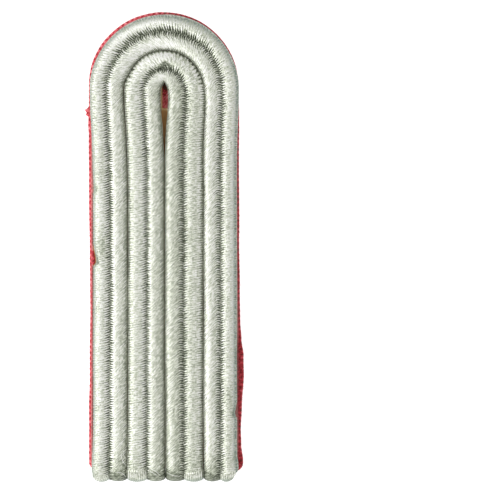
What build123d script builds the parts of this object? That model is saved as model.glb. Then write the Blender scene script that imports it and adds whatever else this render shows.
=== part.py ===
from build123d import *
import math
import os

# Uniform shoulder board with a round end and plaited cords, in millimetres. The board lies
# flat. +Z is up, +Y runs along the board towards its round end, which is worn next to the
# collar, and the origin is the bottom centre of the whole board.
#
# Two flat cords of two ribs each lie side by side. The inner one is laid as a U round the
# buttonhole, with a narrow slot between its legs, and the outer one as a U round the inner.
# The ends of both are turned down over the square end. Below them lies a fibre stiffener
# with a punched buttonhole, and below that a cloth that is turned up round the stiffener.

# Whole board
BOARD_LENGTH = 130.0          # from the round end of the cloth to the turned-down cord ends
PIECE_GAP = 0.1               # clearance between the two cords, and round the stiffener
SEAT_GAP = 0.05               # clearance between one layer and the next
ROUNDING_LIMIT = 0.4          # largest share of a width or height that one rounding may take

# Ribs of the cords, counted outwards from the middle line
SLOT_HALF_WIDTH = 0.2         # half the gap between the innermost ribs, below the buttonhole
RIB_1_WIDTH = 4.85
RIB_2_WIDTH = 5.2
RIB_3_WIDTH = 4.85
RIB_4_WIDTH = 4.55
INNER_CORD_RIBS = (RIB_1_WIDTH, RIB_2_WIDTH)
OUTER_CORD_RIBS = (RIB_3_WIDTH, RIB_4_WIDTH)
RIB_HEIGHT = 3.4
RIB_SHOULDER_RADIUS = 1.05    # rounding of the upper edges of a rib
RIB_CROWN_RISE = 0.25         # how far the crown rises above the two shoulders
RIB_FOOT_RADIUS = 1.0         # rounding of the lower edges of a rib
VALLEY_DEPTH = 1.4            # depth of the groove between the two ribs of one cord

# Course of the cords
LEG_SPREAD = 0.6              # how much further out each leg stands at the round end
DRAW_IN_LENGTH = 20.0         # length below the round end over which the legs draw together
END_GAP = 0.2                 # clearance between the turned-down cords and the cloth
END_LIFT = 0.3                # height of the cut cord ends above the back of the board

# Dents where the outer cord's edge is sewn down tighter
PINCH_RADIUS = 1.7
PINCH_DEPTH = 0.45
PINCH_LEAN = 0.6              # how far a dent runs down the board as it crosses the edge
PINCHES = (                   # (side: left is -1, share of the leg below the round end)
    (-1, 0.26),
    (-1, 0.45),
    (1, 0.84),
)

# Cloth underlay
CLOTH_THICKNESS = 1.1
CLOTH_MARGIN = 0.35           # how far the cloth's round end stands out beyond the cords
CLOTH_SHIFT = -0.15           # the cloth lies a little to the left under the cords
CLOTH_EDGE_RADIUS = 0.6       # rounding of the folded edge
CLOTH_CORNER_RADIUS = 1.6
CLOTH_SLIT_WIDTH = 0.5
FOLD_BULGE = 1.25             # how far the loose fold on the right stands out
FOLD_TOP_SHARE = 0.6          # where the loose fold starts, as a share of the straight side
FOLD_ROWS = (                 # (share of the fold's length, share of the bulge)
    (0.16, 0.40),
    (0.37, 1.00),
    (0.57, 0.50),
    (0.77, 0.25),
    (0.93, 0.60),
)
NUB_RADIUS = 1.3              # small pinched fold on the left edge, near the round end
NUB_REACH = 0.8               # how far it stands out
NUB_DROP = 6.8                # its distance below the centre of the round end

# Fibre stiffener
STIFFENER_THICKNESS = 0.9
BUTTONHOLE_WIDTH = 1.7
BUTTONHOLE_SHIFT = 0.3        # the hole is punched a little to the right of the middle
BUTTONHOLE_LENGTH = 14.0
BUTTONHOLE_DROP = 5.8         # lower end of the buttonhole below the centre of the round end
BUTTONHOLE_CORNER_RADIUS = 0.4

# Heights of the layers, from the back upwards
STIFFENER_BASE = CLOTH_THICKNESS + SEAT_GAP
STIFFENER_TOP = STIFFENER_BASE + STIFFENER_THICKNESS
CORD_BASE = STIFFENER_TOP + SEAT_GAP
VALLEY_HEIGHT = RIB_HEIGHT - VALLEY_DEPTH

# Places across the board, from the middle line outwards
INNER_CORD_EDGE = SLOT_HALF_WIDTH + sum(INNER_CORD_RIBS)
OUTER_CORD_START = INNER_CORD_EDGE + PIECE_GAP
OUTER_CORD_EDGE = OUTER_CORD_START + sum(OUTER_CORD_RIBS)
PATH_OFFSET = (SLOT_HALF_WIDTH + OUTER_CORD_EDGE) / 2
CLOTH_RADIUS = OUTER_CORD_EDGE + LEG_SPREAD + CLOTH_MARGIN
STIFFENER_RADIUS = CLOTH_RADIUS - CLOTH_THICKNESS - PIECE_GAP

# Places along the board
END_BEND_RADIUS = CLOTH_EDGE_RADIUS + END_GAP
ARCH_Y = BOARD_LENGTH / 2 - CLOTH_RADIUS
BEND_Y = -BOARD_LENGTH / 2 + END_BEND_RADIUS + RIB_HEIGHT
SQUARE_END_Y = BEND_Y - CLOTH_EDGE_RADIUS
DRAW_IN_Y = ARCH_Y - DRAW_IN_LENGTH
BUTTONHOLE_Y = ARCH_Y - BUTTONHOLE_DROP + BUTTONHOLE_LENGTH / 2


def rounding(radius, *sizes):
    """The radius, or less where one of the sizes leaves no room for it."""
    return min(radius, ROUNDING_LIMIT * min(sizes))


def rib_shoulder(width):
    """Radius of a rib's shoulders and the height of their centres above the rib's foot."""
    radius = rounding(RIB_SHOULDER_RADIUS, width, RIB_HEIGHT)
    return radius, RIB_HEIGHT - RIB_CROWN_RISE - radius


def rib_face(inner, outer):
    """Section of one rib between two distances from the middle line.

    It is a pillow with a flat foot, rounded lower corners, and a low crown that runs
    smoothly into two shoulders.
    """
    middle = (inner + outer) / 2
    half = (outer - inner) / 2
    radius, centre_z = rib_shoulder(outer - inner)
    foot = rounding(RIB_FOOT_RADIUS, outer - inner, centre_z / ROUNDING_LIMIT)
    reach = half - radius
    crown = (reach**2 / RIB_CROWN_RISE + RIB_CROWN_RISE) / 2 + radius
    angle = math.atan2(centre_z - (RIB_HEIGHT - crown), reach)
    blend_x = reach + radius * math.cos(angle)
    blend_z = centre_z + radius * math.sin(angle)
    turn = math.degrees(angle)
    edges = [
        Line((foot - half, 0), (half - foot, 0)),
        CenterArc((half - foot, foot), foot, 270, 90),
        Line((half, foot), (half, centre_z)),
        CenterArc((reach, centre_z), radius, 0, turn),
        ThreePointArc((blend_x, blend_z), (0, RIB_HEIGHT), (-blend_x, blend_z)),
        CenterArc((-reach, centre_z), radius, 180 - turn, turn),
        Line((-half, centre_z), (-half, foot)),
        CenterArc((foot - half, foot), foot, 180, 90),
    ]
    return Plane.XZ * Pos(middle, 0) * make_face(Curve() + edges)


def cord_face(inner, rib_widths):
    """Section of a flat cord: two ribs joined by a low web."""
    first, second = rib_widths
    valley = inner + first
    web = Rectangle(min(first, second), VALLEY_HEIGHT)
    ribs = rib_face(inner, valley) + rib_face(valley, valley + second)
    return ribs + Plane.XZ * Pos(valley, VALLEY_HEIGHT / 2) * web


def course():
    """Path of the cords from above: up the right leg, round the arch, down the left leg."""
    wide = PATH_OFFSET + LEG_SPREAD
    start = (PATH_OFFSET, BEND_Y)
    draw_in = (PATH_OFFSET, DRAW_IN_Y)
    halfway = (PATH_OFFSET + LEG_SPREAD / 2, (DRAW_IN_Y + ARCH_Y) / 2)
    spring = (wide, ARCH_Y)
    leg = [
        Line(start, draw_in),
        TangentArc(draw_in, halfway, tangent=(0, 1)),
        TangentArc(spring, halfway, tangent=(0, -1)),
    ]
    arch = ThreePointArc(spring, (0, ARCH_Y + wide), (-wide, ARCH_Y))
    other_leg = [edge.mirror(Plane.YZ) for edge in leg]
    return Pos(0, 0, CORD_BASE) * Wire(leg + [arch] + other_leg)


def cord(inner, rib_widths):
    """One flat cord laid as a U, with both ends turned down over the square end."""
    section = Pos(0, BEND_Y, CORD_BASE) * cord_face(inner, rib_widths)
    laid = sweep(section, course())
    bend_z = CORD_BASE - END_BEND_RADIUS
    bend_axis = Axis((0, BEND_Y, bend_z), (1, 0, 0))
    bend = revolve(section, bend_axis, 90)
    tail = extrude(section.rotate(bend_axis, 90), bend_z - END_LIFT, dir=(0, 0, -1))
    end = bend + tail
    return laid + end + end.mirror(Plane.YZ)


def pinch(side, share):
    """Round bar that presses a slanting dent into the outer shoulder of a leg."""
    radius, centre_z = rib_shoulder(RIB_4_WIDTH)
    out = radius - PINCH_DEPTH + PINCH_RADIUS
    slope = math.sqrt(0.5)
    place = (
        side * (OUTER_CORD_EDGE - radius + out * slope),
        ARCH_Y - share * (ARCH_Y - BEND_Y),
        CORD_BASE + centre_z + out * slope,
    )
    bar = Plane(place, z_dir=(-side, -PINCH_LEAN, 1))
    return bar * Cylinder(PINCH_RADIUS, 2 * RIB_HEIGHT)


def outer_cord():
    """The outer cord with the dents in its edge."""
    body = cord(OUTER_CORD_START, OUTER_CORD_RIBS)
    for side, share in PINCHES:
        body -= pinch(side, share)
    return body


def round_ended(radius, square_end):
    """Outline with a half-round top end and a straight lower end, shifted as the cloth."""
    left = CLOTH_SHIFT - radius
    right = CLOTH_SHIFT + radius
    arch = CenterArc((CLOTH_SHIFT, ARCH_Y), radius, 0, 180)
    sides = Polyline((left, ARCH_Y), (left, square_end), (right, square_end), (right, ARCH_Y))
    return make_face(arch + sides)


def buttonhole(width):
    """Slot along the board, beside the middle line and at the centre of the round end."""
    slot = Rectangle(width, BUTTONHOLE_LENGTH)
    corner = rounding(BUTTONHOLE_CORNER_RADIUS, width)
    return Pos(BUTTONHOLE_SHIFT, BUTTONHOLE_Y) * fillet(slot.vertices(), corner)


def right_side(top, low):
    """Right side of the cloth, straight at first and then wavy where its fold is loose."""
    side = CLOTH_SHIFT + CLOTH_RADIUS
    start = low + (1 - FOLD_TOP_SHARE) * (top - low)
    crests = [
        (side + proud * FOLD_BULGE, start - share * (start - low)) for share, proud in FOLD_ROWS
    ]
    points = [(side, start), *crests, (side, low)]
    return [Line((side, top), (side, start)), Spline(points, tangents=[(0, -1), (0, -1)])]


def cloth_outline():
    """Cloth seen from above, with its loose fold and the small pinched fold on the left."""
    left = CLOTH_SHIFT - CLOTH_RADIUS
    right = CLOTH_SHIFT + CLOTH_RADIUS
    corner = CLOTH_CORNER_RADIUS
    low = SQUARE_END_Y + corner
    edges = [
        CenterArc((CLOTH_SHIFT, ARCH_Y), CLOTH_RADIUS, 0, 180),
        *right_side(ARCH_Y, low),
        CenterArc((right - corner, low), corner, 270, 90),
        Line((right - corner, SQUARE_END_Y), (left + corner, SQUARE_END_Y)),
        CenterArc((left + corner, low), corner, 180, 90),
        Line((left, low), (left, ARCH_Y)),
    ]
    nub = Pos(left - NUB_REACH + NUB_RADIUS, ARCH_Y - NUB_DROP) * Circle(NUB_RADIUS)
    sheet = make_face(Curve() + edges) + nub
    creases = sheet.vertices().sort_by_distance(nub.center())[:2]
    return fillet(creases, NUB_RADIUS / 2)


def underlay():
    """Cloth turned up round the stiffener, with the buttonhole slit cut through it."""
    body = extrude(cloth_outline(), STIFFENER_TOP)
    faces = body.faces().sort_by(Axis.Z)
    rims = faces[0].edges() + faces[-1].edges()
    body = fillet(rims, rounding(CLOTH_EDGE_RADIUS, STIFFENER_TOP))
    hollow = round_ended(CLOTH_RADIUS - CLOTH_THICKNESS, SQUARE_END_Y + CLOTH_THICKNESS)
    body -= Pos(0, 0, CLOTH_THICKNESS) * extrude(hollow, STIFFENER_TOP)
    return body - extrude(buttonhole(CLOTH_SLIT_WIDTH), CLOTH_THICKNESS)


def stiffener():
    """Fibre board in the cloth's hollow, with the buttonhole punched through it."""
    board = round_ended(STIFFENER_RADIUS, SQUARE_END_Y + CLOTH_THICKNESS + PIECE_GAP)
    board -= buttonhole(BUTTONHOLE_WIDTH)
    return Pos(0, 0, STIFFENER_BASE) * extrude(board, STIFFENER_THICKNESS)


def main():
    """Write one STEP file for each piece."""
    pieces = {
        "inner_cord": cord(SLOT_HALF_WIDTH, INNER_CORD_RIBS),
        "outer_cord": outer_cord(),
        "stiffener": stiffener(),
        "underlay": underlay(),
    }
    os.makedirs("parts", exist_ok=True)
    for name, piece in pieces.items():
        export_step(piece, f"parts/{name}.step")


main()
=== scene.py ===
import math

import bpy
import numpy as np
from bpy.props import FloatProperty, FloatVectorProperty, PointerProperty
from bpy.types import Operator, Panel, PropertyGroup
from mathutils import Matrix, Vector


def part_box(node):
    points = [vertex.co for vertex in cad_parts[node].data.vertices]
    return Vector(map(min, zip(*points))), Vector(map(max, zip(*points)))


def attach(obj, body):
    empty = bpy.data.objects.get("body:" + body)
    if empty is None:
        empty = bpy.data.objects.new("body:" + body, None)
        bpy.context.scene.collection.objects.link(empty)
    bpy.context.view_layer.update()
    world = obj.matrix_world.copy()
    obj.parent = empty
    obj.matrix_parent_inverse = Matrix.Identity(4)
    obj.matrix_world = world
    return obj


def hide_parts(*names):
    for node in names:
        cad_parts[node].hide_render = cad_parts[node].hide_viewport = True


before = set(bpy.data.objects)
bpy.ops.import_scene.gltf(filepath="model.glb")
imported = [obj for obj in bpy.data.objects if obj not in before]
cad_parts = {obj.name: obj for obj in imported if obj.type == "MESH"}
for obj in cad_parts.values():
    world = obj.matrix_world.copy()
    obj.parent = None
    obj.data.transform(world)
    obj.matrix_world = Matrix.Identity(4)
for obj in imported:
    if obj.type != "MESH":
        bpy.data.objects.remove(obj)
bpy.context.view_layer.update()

bl_info = {
    "name": "Shoulder board",
    "version": (1, 0, 0),
    "blender": (4, 5, 0),
    "location": "3D View > Sidebar > Shoulder board",
    "description": "Plaited cords, cloth and fibre board of a round-ended shoulder board",
    "category": "Object",
}

# Shapes are worked out in millimetres and become metres when a mesh is made
MM = 0.001
BODY = "root"
BAKE_MAP = "OFBake"
THREAD_MAP = "thread"
MAP_SCALE = 0.01  # how much of the thread map one millimetre takes up
MAP_MARGIN = 0.01
STRIP_MARGIN = 0.03


def box_in_mm(node):
    """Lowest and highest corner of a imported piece, in millimetres."""
    low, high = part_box(node)
    return np.array(low) / MM, np.array(high) / MM


OUTER_LOW, OUTER_HIGH = box_in_mm("outer_cord")
CLOTH_LOW, CLOTH_HIGH = box_in_mm("underlay")

# Ribs of the cords. A side of -1 is the left leg of the board, or the inner side of a groove
RIB_HEIGHT = 3.4
SHOULDER_RADIUS = 1.05
CROWN_RISE = 0.25
FOOT_RADIUS = 1.0
CORD_BASE = OUTER_HIGH[2] - RIB_HEIGHT
INNER_GROOVE = 5.05  # distance of each cord's groove from the middle line
OUTER_GROOVE = 15.2
RIBS = (  # (name, cord, groove, side of the groove, width)
    ("inner_cord_inner_rib", "inner_cord", INNER_GROOVE, -1, 4.85),
    ("inner_cord_outer_rib", "inner_cord", INNER_GROOVE, 1, 5.2),
    ("outer_cord_inner_rib", "outer_cord", OUTER_GROOVE, -1, 4.85),
    ("outer_cord_outer_rib", "outer_cord", OUTER_GROOVE, 1, 4.55),
)
INNERMOST, PEAKED, OUTERMOST = RIBS[0][0], RIBS[1][0], RIBS[3][0]
SECTION_POINTS = 34
SECTION_TRACE = 720  # points of the fine line that a section's points are spread on
DENSE_ABOVE = 1.4  # height over which these points lie close together
FOOT_DENSITY = 0.45

# Course of the cords over the board
ARCH_Y = OUTER_HIGH[1] - OUTER_HIGH[0]
LEG_SPREAD = 0.6  # how much further out the legs stand at the round end
DRAW_IN_LENGTH = 20.0
CORD_DRIFT = 0.35  # the cords lie a little to the right of the middle line
CORD_WIDENING = 0.006
LEFT_HOLD, CORDS_HALF_WIDTH = 0.7, 20.0  # the left edge takes less part in this
LEFT_SPREAD = 0.28  # the left leg stands this much further out at the round end
LEFT_SPREAD_Y, LEFT_SPREAD_FADE, LEFT_SPREAD_WIDTH = 15.0, 15.0, 10.0
END_SPREAD = 0.3  # and this much at the square end
END_SPREAD_Y, END_SPREAD_FADE, END_SPREAD_WIDTH = -50.0, 12.0, 16.0
GAP_SHIFTS = (  # (x, half width, how far to the right) of the gaps between ribs
    (10.3, 2.5, 0.15),
    (0.0, 2.5, -0.14),
)
SWAYS = (  # (x, y, half width, half length, how far to the right) of each sway
    (-15.8, -6.0, 4.0, 18.0, 0.22),
    (2.5, -56.0, 5.0, 18.0, 0.20),
    (-8.5, 41.0, 4.0, 6.0, -0.30),
)
SQUEEZE = (  # (distance from the middle line, how far it is drawn in on the arch)
    (0.0, 0.0),
    (5.0, 0.65),
    (10.2, 0.8),
    (15.2, 0.38),
    (19.75, 0.0),
)
SQUEEZE_START, SQUEEZE_FULL = math.radians(-25), math.radians(25)
SLOT_LEG = (  # (y, how far the innermost rib closes in on the buttonhole)
    (24.0, 0.15),
    (28.0, -0.02),
    (34.0, -0.01),
    (37.0, -0.16),
    (41.3, -0.18),
    (42.4, -0.15),
    (43.5, -0.05),
    (ARCH_Y, 0.15),
)
SLOT_ARCH = (  # (degrees round the arch, the same)
    (0.0, 0.15),
    (20.0, 0.2),
    (45.0, 0.18),
    (70.0, -0.03),
    (90.0, -0.6),
)
SLOT_REACH, MIDDLE_GAP = 1.3, 0.03
RIB_WANDER, RIB_WANDER_LENGTH = 0.08, 14.0
END_BEND_RADIUS = 0.8
BEND_Y = OUTER_LOW[1] + RIB_HEIGHT + END_BEND_RADIUS
BEND_Z = CORD_BASE - END_BEND_RADIUS
TAIL_LENGTH = BEND_Z - OUTER_LOW[2]
BEND_LENGTH = (RIB_HEIGHT + END_BEND_RADIUS) * math.pi / 2
LEG_START = TAIL_LENGTH + BEND_LENGTH
ARCH_START = LEG_START + ARCH_Y - BEND_Y

# Threads wound over the ribs
THREAD_STEPS = 6  # rows of points for each thread
PITCH_SPREAD = 0.2  # how unevenly the threads are spaced
LEAN_REACH, LEAN_SOFTNESS = 0.9, 0.35  # the threads lean one way in the groove, up to here
GROOVE_LEAN = -0.6
INNER_LEAN = 1.0  # and another way over the rest of the rib
OUTER_LEAN = -0.15
LEAN_FADE = 8.0  # length at the cut ends over which the lean is lost
TOOTH_REACH, TOOTH_FADE = 0.38, 0.7  # how far a thread reaches over the groove's middle
THICKNESS_SPREAD = 0.2
THICK_RISE = 0.3  # how much a thick thread stands out over the others
TIGHTEST = 0.2  # least relief where threads crowd on the arch's inner side
RELIEF_START, RELIEF_FADE = 0.5, 0.8  # height at which the relief begins
GROOVE_REACH, GROOVE_CALM = 0.95, 0.4  # strong relief in the groove, and its loss on the arch
FAR_RELIEF, FAR_REACH, FAR_CALM = 0.6, 0.8, 0.8  # the same on the far flank
LIT_PLACE, LIT_REACH = 0.9, 0.7  # left flank, where the light evens out the threads
LIT_CALM, LIT_GAP_CALM = 0.35, 0.25
SWELLS = (  # slow swelling of a rib: (length, height, slant over the rib)
    (7.0, 0.035, 0.0),
    (2.3, 0.02, 0.0),
    (3.1, 0.03, 1.3),
)
EDGE_PULL, ARCH_PULL = 0.05, 0.30  # how far the outer edge is drawn in
PULL_REACH = 0.8
GAP_BASE, GAP_ARCH_CALM = 0.15, 0.3  # painted shade in the gaps between threads, away from a crease
THREAD_STRETCH = {-1: 0.9, 1: 1.1}  # how the thread map is stretched on each side
RIB_STRIPS, CLOTH_STRIPS = 4, 3  # strips that a piece's bake map is cut into

# Painted shade in the creases between the ribs, toothed by the threads
CREASE_REACH = 0.66  # half width of a crease
ARCH_CREASE_REACH = 0.25  # how much wider it opens at the top of the arch
CREASE_SPREAD, ARCH_CREASE_SPREAD = 0.25, 0.9
CREASE_TEETH, ARCH_TEETH_LOSS = 0.6, 0.5
ARCH_CREASE_FILL, ARCH_CREASE_LOSS = 0.22, 0.05
LIT_CREASE_REACH = 0.66  # how far a crease reaches over the rib that faces the light
LIT_TEETH, LIT_TEETH_TONE = 0.3, 0.38
FAR_NARROWING = 0.35  # the crease at a rib's far side is narrower on the arch
FAR_TEETH, FAR_TEETH_LOSS, FAR_TEETH_TONE = 0.5, 0.8, 0.4
FAR_LINE, FAR_LINE_REACH = 0.7, 0.12  # painted bounce light: a paler line where two ribs touch
FAR_CREASE, FAR_CREASE_ARCH = 0.45, 0.35
PEAK_X = 0.5  # painted shade: a dark peak over the top of the inner cord's groove
PEAK_HEIGHT = 2.3
PEAK_HALF_WIDTH = 3.0
PEAK_TONE, PEAK_SOFTNESS = 0.5, 0.8
RIM_CREASE, RIM_CREASE_PLACE, RIM_CREASE_REACH = 0.12, 1.1, 0.7  # painted shade of a crease beside the left edge

# Tone of the threads: painted highlights on the lit flanks and round the left half of the arch
CRESTS = {  # share of each rib's width at which its painted highlight lies
    "inner_cord_inner_rib": 0.43,
    "inner_cord_outer_rib": 0.72,
    "outer_cord_inner_rib": 0.68,
    "outer_cord_outer_rib": 0.50,
}
CREST_TONE, CREST_REACH = 0.22, 1.3
CREST_END = math.radians(60)  # up to this turn of the right leg there is no crest
CREST_FADE = math.radians(30)
# Painted highlight on the flank of each rib that faces the light, on the legs
FLANK_TONE, FLANK_PLACE, FLANK_REACH = 0.15, 1.0, 0.6
# Painted highlight beside the board's left edge, on the left leg
RIM_LIGHT, RIM_LIGHT_PLACE, RIM_LIGHT_REACH = 0.13, 1.5, 1.1
RIB_TONES = {  # (rib, leg) and how much lighter its threads are
    ("inner_cord_inner_rib", -1): -0.06,
    ("inner_cord_inner_rib", 1): -0.12,
    ("inner_cord_outer_rib", 1): -0.07,
    ("outer_cord_inner_rib", 1): 0.02,
}
END_TONES = {  # how much darker each rib gets towards the square end
    "inner_cord_inner_rib": 0.05,
    "inner_cord_outer_rib": 0.09,
    "outer_cord_inner_rib": 0.20,
    "outer_cord_outer_rib": 0.06,
}
END_TONE_Y, END_TONE_FADE = -55.5, 5.0
EDGE_SHADE, EDGE_REACH = 0.75, 0.4  # painted shade on the outer edge, wider on the right and on the arch
RIGHT_EDGE_REACH, ARCH_EDGE_REACH, ARCH_EDGE_SIDE = 0.35, 1.1, 0.2
# Broader painted shade over the outer rib's edge
BROAD_SHADE, BROAD_SIDE, BROAD_REACH = 0.35, 0.15, 1.2
DROP_SHADE, DROP_START, DROP_FADE = 0.6, 62.0, 22.0  # painted shade where the ribs drop round the bend of the ends, in degrees
END_SHADES = (  # painted shade of the turned-down ends: (shade, start, length) in degrees
    (0.3, -2.0, 14.0),
    (0.5, 50.0, 25.0),
)
CAP_SHADE, CAP_SOFTNESS = 0.7, 0.07  # sharp line of painted shade over them
CAP_STARTS = {"inner_cord": 1.0, "outer_cord": 9.0}  # in degrees
CAP_SLANT = 28.0

# Shape of the cord ends
END_SHOULDER_RADIUS = 1.2
END_CROWN_RISE = 0.25
END_WIDENING = 0.13  # how much each side of a rib bulges at its end
END_FILL_LENGTH = 9.0
END_DRAWS = {-1: 0.14, 1: 0.36}  # share of the outermost rib's width drawn in
DRAW_POWER = 0.8
END_THREAD_PITCH = 0.55
END_TRACE, END_ROWS = 130, 22
END_FOOT = 1.0  # height above which the threads are straightened
END_RIDGE, END_RIDGE_POWER = 0.12, 0.7
END_SUNK, END_RISE, END_RISE_SHARE = -0.12, 0.16, 0.12
END_DEPTH = 0.3
END_GRAIN = 0.3  # length of the thread map for each row
END_TURN_START, END_TURN_FADE = 45.0, 25.0  # degrees round the bend
# Painted shade between the end threads and where they turn down, then the threads' tone
END_GAP, END_TURN_GAP, END_TURN_EDGE, END_LOT = 0.8, 0.4, 0.75, 0.6
# Each end: (rib, leg, how far below the leg its threads start at the groove and at the far side)
END_CREASES = (
    ("inner_cord_outer_rib", -1, 0.6, 0.3),
    ("inner_cord_outer_rib", 1, 1.7, 0.3),
    ("outer_cord_outer_rib", -1, 2.3, 3.6),
    ("outer_cord_outer_rib", 1, 1.8, 0.2),
)

# Dents where the outer cord's edge is sewn down tighter
DENTS = (  # (leg, deepest place, length above it, depth)
    (-1, 15.9, 6.0, 0.15),
    (-1, -4.0, 5.5, 0.75),
    (1, -46.0, 4.0, 0.5),
    (1, -58.0, 3.0, 0.15),
    (1, -62.0, 9.0, -0.5),  # here the ends bulge instead
    (-1, -62.0, 5.0, -0.1),
)
DENT_WIDTH = 1.2
DENT_RELEASE = 1.5  # length over which the edge comes out again
CREASE_LEAN = 2.5  # each dent has a painted dark crease line that slants away from the edge
CREASE_TIP, CREASE_LINE_REACH, CREASE_LINE_BASE = 0.9, 0.9, 0.4
CREASE_END, CREASE_END_FADE = 6.0, 3.0
PIT_SHADE, PIT_REACH = 1.2, 1.1  # and a painted dark pit at its deepest place
PIT_PLACE, PIT_WIDTH = 0.8, 0.7
HOLLOW_SHADE, HOLLOW_BASE = 0.55, 0.3  # and painted shade in a soft hollow above it
HOLLOW_Y, HOLLOW_LENGTH, HOLLOW_PLACE, HOLLOW_WIDTH = 4.5, 3.5, 2.2, 1.4
DARKEST_DENT = 1.3

# Cloth underlay
CLOTH_SHIFT = -0.15
CLOTH_THICKNESS = 1.1
CLOTH_EDGE_RADIUS = 0.6
CLOTH_CORNER_RADIUS = 1.6
CLOTH_RADIUS = CLOTH_HIGH[1] - ARCH_Y
CLOTH_TOP = CLOTH_HIGH[2]
SQUARE_END_Y = CLOTH_LOW[1]
CLOTH_STEP = 0.14  # spacing of points along the edge
ARCH_POINTS, LOW_POINTS, TOP_POINTS = 120, 5, 8  # round the arch, and round the edge's section
BACK_INSET = 1.1  # how far in from the edge the flat back starts
LIP_INSETS = (0.85, 1.1, 1.12)  # top, rounded end and inner side of the turned-up edge
LIP_DROP = 0.05
RING_COUNT = 4  # rings of points between the edge and the slit
SLIT_X, SLIT_Y = 0.3, 45.5
SLIT_HALF_WIDTH, SLIT_HALF_LENGTH = 0.004, 7.0
ARCH_MARGIN, ARCH_MARGIN_FADE = 0.25, 8.0  # how much further it stands out round the arch
RIGHT_EDGE = (  # (place along the board, how far the right edge stands out there)
    (-61.5, 1.45),
    (-59.0, 1.4),
    (-55.0, 0.88),
    (-51.0, 0.76),
    (-43.5, 1.1),
    (-35.0, 1.62),
    (-30.0, 1.5),
    (-25.5, 0.9),
    (-21.0, 0.6),
    (-12.0, 0.45),
    (2.0, 0.3),
    (20.0, 0.24),
    (36.0, 0.3),
    (44.0, 0.0),
)
LEFT_EDGE = (  # the same for the left edge
    (-61.5, 0.0),
    (-56.0, 0.08),
    (-47.0, 0.04),
    (-34.0, -0.17),
    (-17.0, -0.32),
    (0.0, -0.16),
    (14.0, 0.0),
    (28.0, 0.1),
    (34.0, 0.04),
    (44.0, 0.1),
)
NUBS = (  # on the left edge: (place, half length, how far it stands out)
    (38.0, 0.65, 1.1),
    (36.8, 0.45, 0.8),
    (34.5, 2.2, 0.2),
)
LIP_FOLD, LIP_LEAN = 0.8, 1.1  # the left edge leans into the cord's dents
LIP_RISE = 0.16  # how far it rises there
LIP_NO_PALE_LINE = 0.2  # where it leans in further than this, it has no pale line
PROUD_HOLD, PROUD_FADE = 1.25, 0.85  # a part that stands out comes back over this inset
KNUCKLE_ROWS = 1.75  # spacing of the rows of raised yarn round the cloth's edge
KNUCKLE_START = 0.4  # where the first row lies, in radians
KNUCKLE_RELIEF, KNUCKLE_LEVEL = 0.13, 0.6
RIGHT_KNUCKLES = 0.5
KNUCKLE_SHIFT, KNUCKLE_SHIFT_LENGTH = 0.12, 3.0
KNUCKLE_SPREAD, KNUCKLE_SPREAD_LENGTH = 0.25, 0.9
CLOTH_WAVE, CLOTH_WAVE_LENGTH = 0.05, 5.0
SHOWN_WIDTH, SHOWN_FADE = 1.15, 0.5  # the part of the edge that shows
FOOT_PALE, FOOT_FADE, FOLD_PALE = 0.6, 0.3, 0.35  # inset at which the pale line starts, partly painted light that lifts the shade at the cord's foot

# Wool hairs and loose fibres
HAIR_COUNT, HAIR_STEPS, HAIR_SIDES, HAIR_RADIUS = 1500, 5, 3, 0.016
HAIR_TILT, HAIR_LENGTH = (-0.2, 1.1), (0.25, 0.75)
HAIR_INSET, HAIR_DROP, HAIR_SPREAD = 0.25, 0.35, 0.7
HAIR_TURN, HAIR_CURL = 0.7, 0.12
FIBRE_STEPS, FIBRE_SIDES, FIBRE_TIP = 14, 5, 0.35
TIP_ANGLE = 0.1  # keeps a fibre's tips from closing
FIBRES_X = 20.2  # loose fibres stay within the cords
FIBRE_LIFT, FIBRE_DIP = 0.03, 0.5  # height over the ribs, and fall from point to point
SPARE_COUNT = 70  # fine fibres scattered over the cords
SPARE_X, SPARE_Y = (-19, 19), (-60, 44)
SPARE_LENGTH, SPARE_RADIUS, SPARE_BOW = (1.2, 3.8), (0.014, 0.026), 0.25
SPARE_ANGLE = (0.5, 0.5)
SIDEWAYS = (0.13, 0.27, 1.0)  # a direction that no fibre runs in
FIBRES = (  # loose fibres: (start x, start y, end x, end y, bow, radius)
    (-8.4, 13.1, -6.3, 14.7, 0.1, 0.08),
    (-3.8, 15.3, -0.4, 11.9, 0.4, 0.035),
    (-2.3, 5.9, 0.7, 4.2, 0.1, 0.06),
    (-11.7, -56.7, -9.6, -61.0, -0.7, 0.08),
    (-11.2, -56.2, -9.9, -59.0, -0.4, 0.06),
    (0.6, -20.2, 1.5, -18.6, 0.1, 0.05),
    (-4.3, -60.8, -1.1, -62.9, 0.2, 0.09),
    (-5.2, -61.2, -1.5, -63.4, 0.2, 0.07),
    (-13.2, -62.2, -10.6, -63.4, 0.5, 0.08),
    (0.5, -62.1, 4.4, -63.3, -0.3, 0.07),
    (-20.0, 48.9, -16.6, 50.0, 0.1, 0.06),
    (-20.0, 41.8, -16.5, 42.9, 0.1, 0.06),
    (-14.5, 50.4, -11.6, 48.1, 0.1, 0.03),
    (-16.4, 55.2, -13.6, 55.7, 0.1, 0.03),
    (-10.8, 34.9, -7.5, 36.5, 0.1, 0.03),
    (-11.9, 10.4, -9.4, 12.2, 0.2, 0.03),
    (4.2, -35.0, 6.9, -33.2, 0.2, 0.035),
    (12.3, -12.0, 15.4, -10.6, -0.2, 0.03),
)
CORD_FOOT = 1.2  # the ribs' upper side is above this height

# Starting points of the random draws
CORD_SEED, FIBRE_SEED, CLOTH_SEED, HAIR_SEED = 7, 11, 3, 5

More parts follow.
